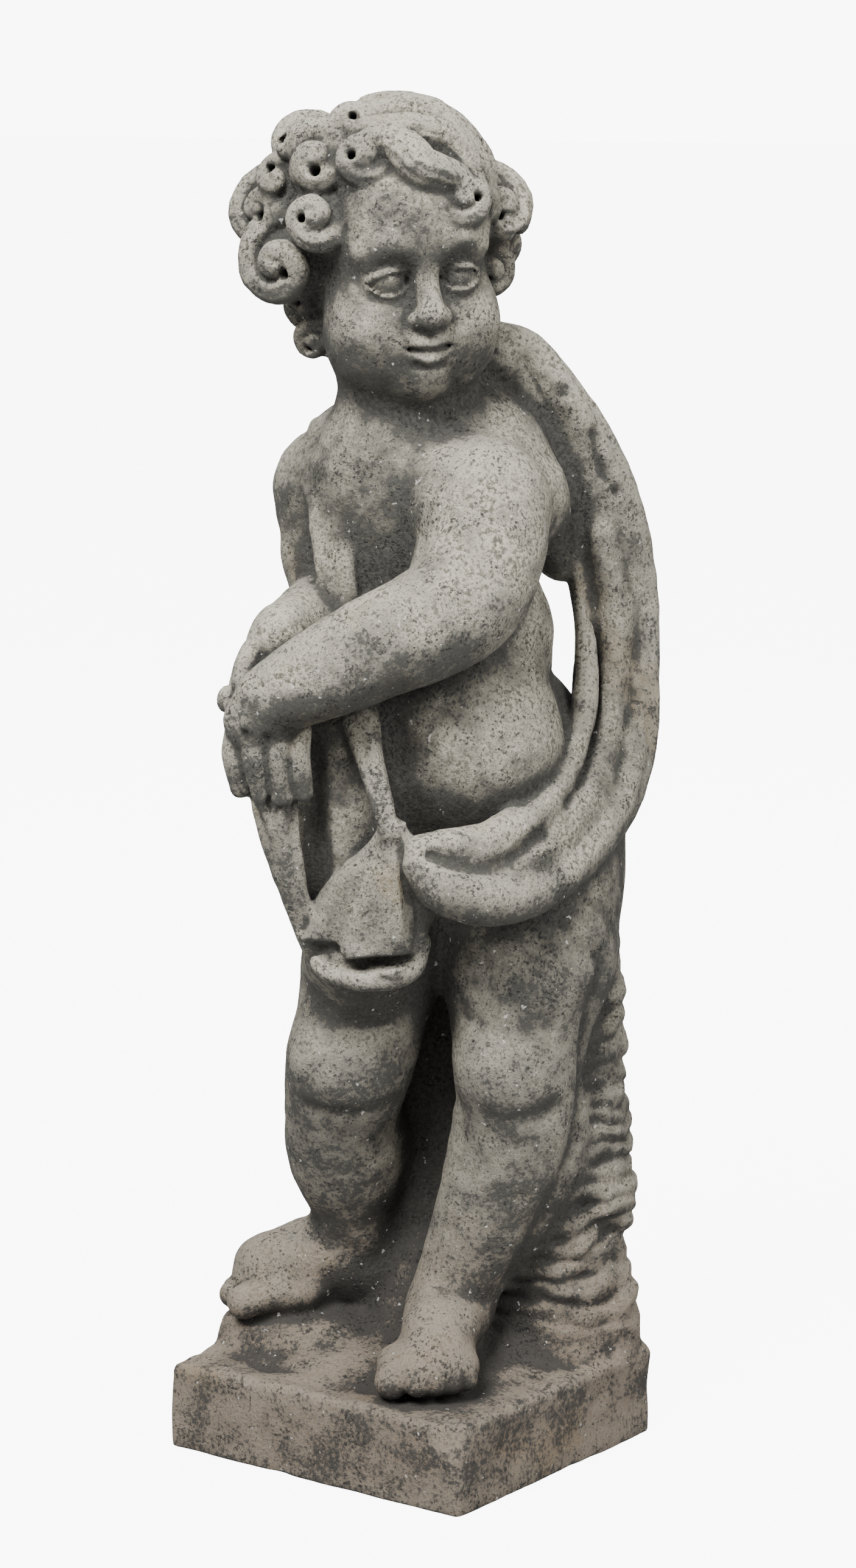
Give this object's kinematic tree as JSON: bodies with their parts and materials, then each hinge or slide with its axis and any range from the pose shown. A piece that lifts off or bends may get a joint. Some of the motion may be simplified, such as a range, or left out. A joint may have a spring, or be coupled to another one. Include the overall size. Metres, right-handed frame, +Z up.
{
  "type": "garden statue",
  "caption": "Cast stone garden statue of a standing putto with crossed arms, curled hair and wind-blown drapery, on a rectangular plinth with a tree stump behind.",
  "frame": {"origin": "middle of the plinth's underside", "axes": "+Z up, along the figure's height; +X and +Y along the plinth's sides, with the child's breast facing -Y"},
  "size_m": [0.3193, 0.3909, 1.107],
  "materials": {
    "stone": "matt, sandy, weathered"
  },
  "bodies": {
    "root": {"putto_statue": "stone"}
  },
  "joints": []
}
